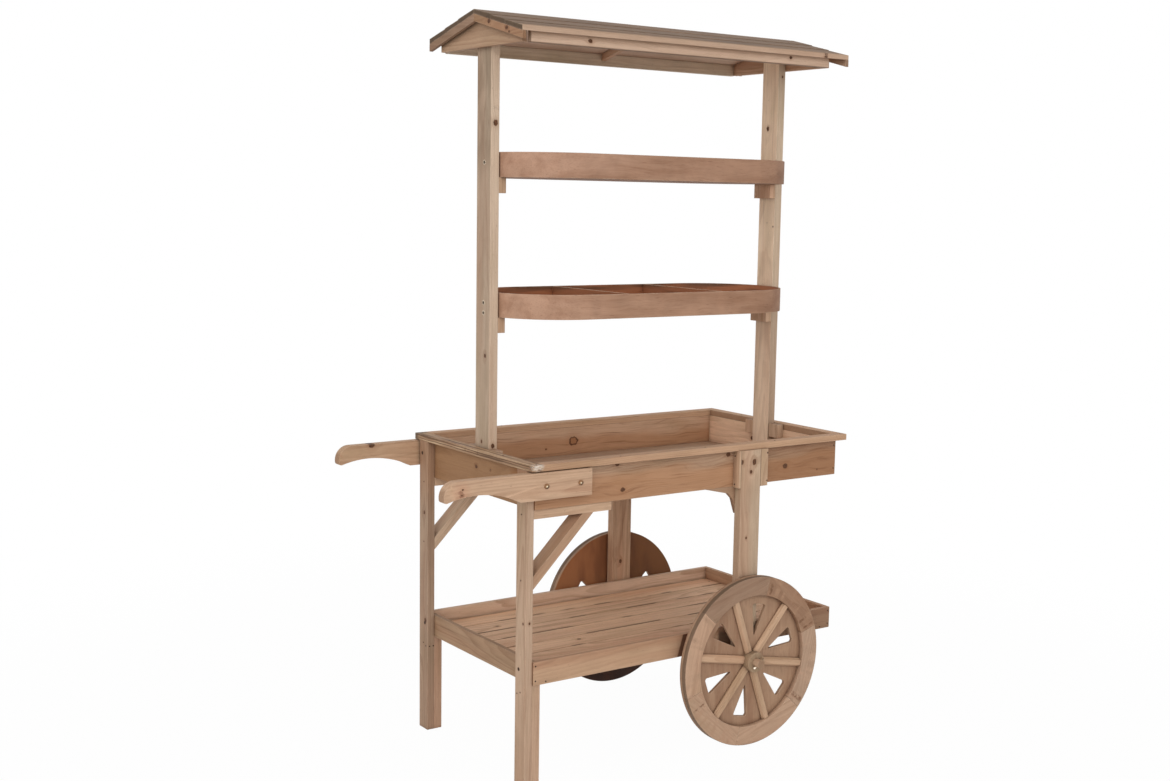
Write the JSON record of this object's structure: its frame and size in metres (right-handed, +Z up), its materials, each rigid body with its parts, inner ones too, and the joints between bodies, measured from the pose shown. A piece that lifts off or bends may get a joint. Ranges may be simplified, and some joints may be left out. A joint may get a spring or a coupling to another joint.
{
  "type": "display cart",
  "caption": "Wooden display cart with a tray, two wheels and two handles, a slatted lower shelf, two oval shelves between tall posts and a small gabled roof",
  "frame": {"origin": "on the floor under the middle of the whole outline, handles and roof included", "axes": "+X along the cart from the handles to the wheels, +Z up, +Y from the front to the back"},
  "size_m": [1.247, 0.704, 1.8329],
  "materials": {
    "fir": "oiled",
    "pale_fir": "oiled",
    "ply": "oiled",
    "dark_ply": "oiled",
    "steel": "dull"
  },
  "bodies": {
    "cart": {"tray_front_board": "fir", "tray_back_board": "fir", "tray_end_boards": "fir", "tray_floor": "pale_fir", "rim_strips": "pale_fir", "left_post": "fir", "right_post": "fir", "post_cleats": "pale_fir", "upper_band": "ply", "lower_band": "ply", "oval_floors": "ply", "shelf_dividers": "pale_fir", "shelf_blocks": "fir", "roof_front_boards": "fir", "roof_back_boards": "fir", "roof_rafters": "fir", "left_gable": "pale_fir", "right_gable": "pale_fir", "roof_purlins": "pale_fir", "front_handle": "fir", "back_handle": "fir", "handle_bolts": "steel", "front_left_leg": "fir", "back_left_leg": "fir", "leg_blocks": "fir", "side_rails": "fir", "leg_braces": "fir", "front_right_leg": "fir", "back_right_leg": "fir", "leg_cleats": "pale_fir", "knee_plates": "dark_ply", "shelf_front_board": "fir", "shelf_back_board": "fir", "shelf_end_boards": "fir", "shelf_slats": "pale_fir", "shelf_battens": "fir", "axle": "pale_fir", "axle_washers": "pale_fir", "axle_pins": "steel"},
    "front_wheel": {"front_wheel_disc": "ply", "front_wheel_ring": "fir", "front_wheel_spokes": "fir", "front_wheel_hub": "fir"},
    "back_wheel": {"back_wheel_disc": "ply", "back_wheel_ring": "fir", "back_wheel_spokes": "fir", "back_wheel_hub": "fir"}
  },
  "joints": [
    {"name": "front_wheel_spin", "type": "hinge", "parent": "cart", "child": "front_wheel", "pos_m": [0.2665, -0.31, 0.221], "axis": [0, 1, 0], "continuous": true},
    {"name": "back_wheel_spin", "type": "hinge", "parent": "cart", "child": "back_wheel", "pos_m": [0.2665, 0.31, 0.221], "axis": [0, 1, 0], "continuous": true}
  ]
}
